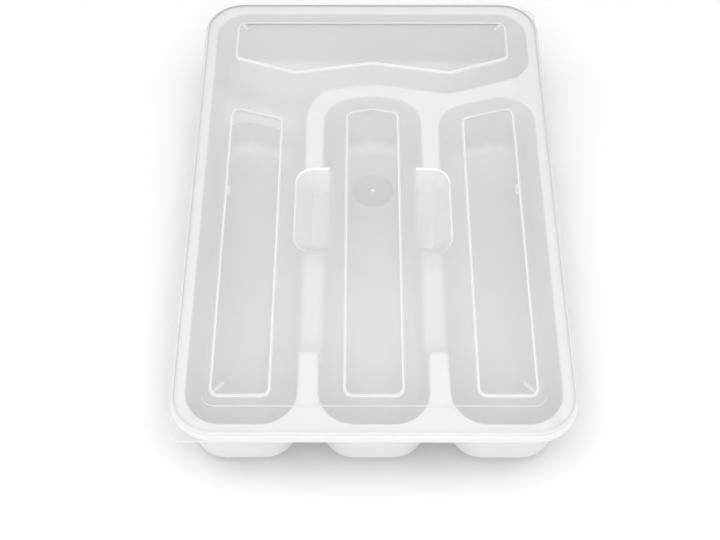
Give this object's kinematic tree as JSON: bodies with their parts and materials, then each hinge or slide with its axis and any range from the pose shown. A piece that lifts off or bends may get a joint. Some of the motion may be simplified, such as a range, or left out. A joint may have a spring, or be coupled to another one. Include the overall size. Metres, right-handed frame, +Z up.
{
  "type": "cutlery tray",
  "caption": "Shallow moulded cutlery tray with lengthwise and crosswise compartments and a frosted lift-off lid with raised clear panels.",
  "frame": {"origin": "bottom centre: on the surface that the tray stands on, under the middle of the tray", "axes": "+X to the right, +Y from the front of the tray to its crosswise back compartment, +Z up"},
  "size_m": [0.26, 0.38, 0.0637],
  "materials": {
    "tray_plastic": "satin",
    "lid_plastic": "frosted"
  },
  "bodies": {
    "tray": {"tray": "tray_plastic"},
    "lid": {"lid": "lid_plastic"}
  },
  "joints": [
    {"name": "lid_lift", "type": "slide", "parent": "tray", "child": "lid", "axis": [0, 0, 1], "range_m": [0, 0.1]}
  ]
}
